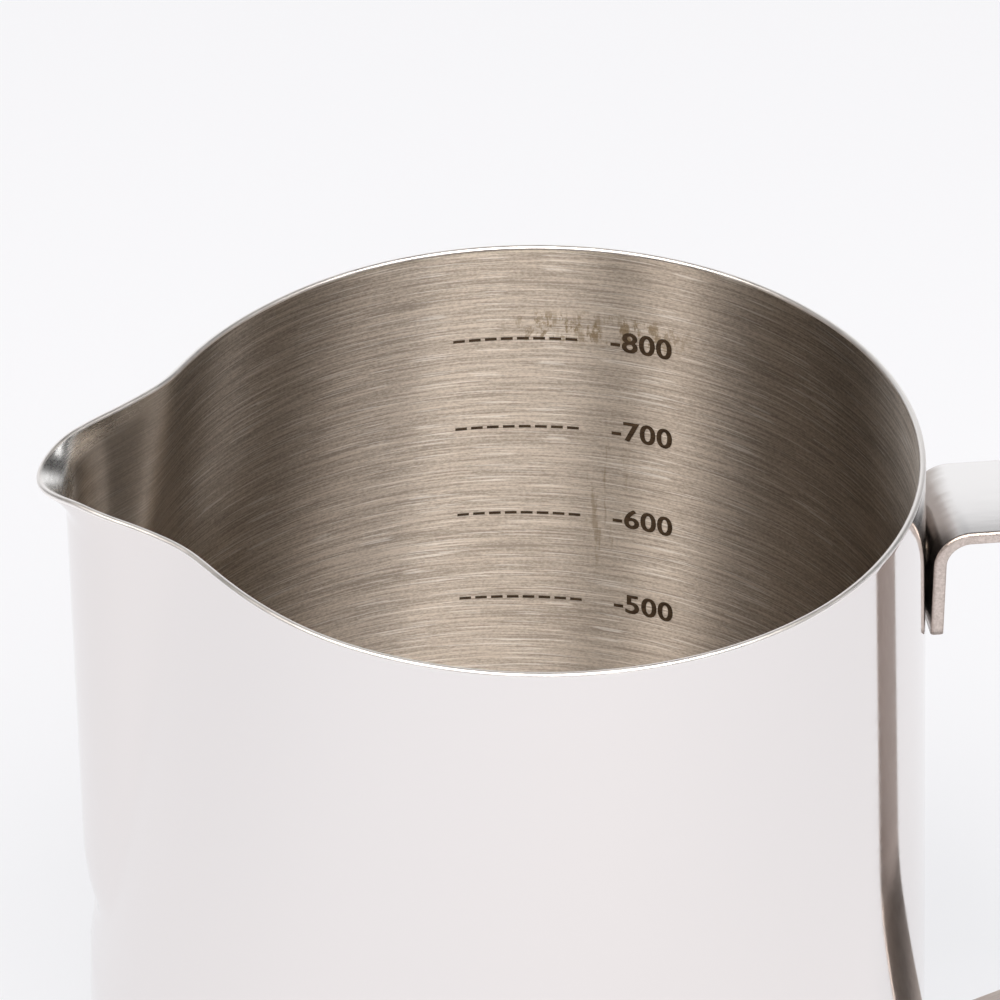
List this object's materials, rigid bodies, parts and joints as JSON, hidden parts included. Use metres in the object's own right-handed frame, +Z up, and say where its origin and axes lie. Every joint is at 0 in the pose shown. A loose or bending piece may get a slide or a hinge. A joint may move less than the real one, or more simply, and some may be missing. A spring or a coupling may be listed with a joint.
{
  "type": "milk frothing jug",
  "caption": "Tapered stainless steel milk frothing jug with a pressed V spout, a flared pouring lip and an open handle bent from one flat strip, spot-welded to the wall.",
  "frame": {"origin": "centre of the flat underside, on the axis of the cup", "axes": "+Z up, +X from the axis to the handle, -X to the spout, +Y completes a right-handed frame"},
  "size_m": [0.1497, 0.1062, 0.1172],
  "materials": {
    "cup_steel": "mirror polished outside, brushed around the inside",
    "strap_steel": "polished faces, satin cut edges",
    "weld_steel": "matt fused metal"
  },
  "bodies": {
    "root": {"jug_body": "cup_steel", "handle_strap": "strap_steel", "weld_spots_upper": "weld_steel", "weld_spots_lower": "weld_steel"}
  },
  "joints": []
}
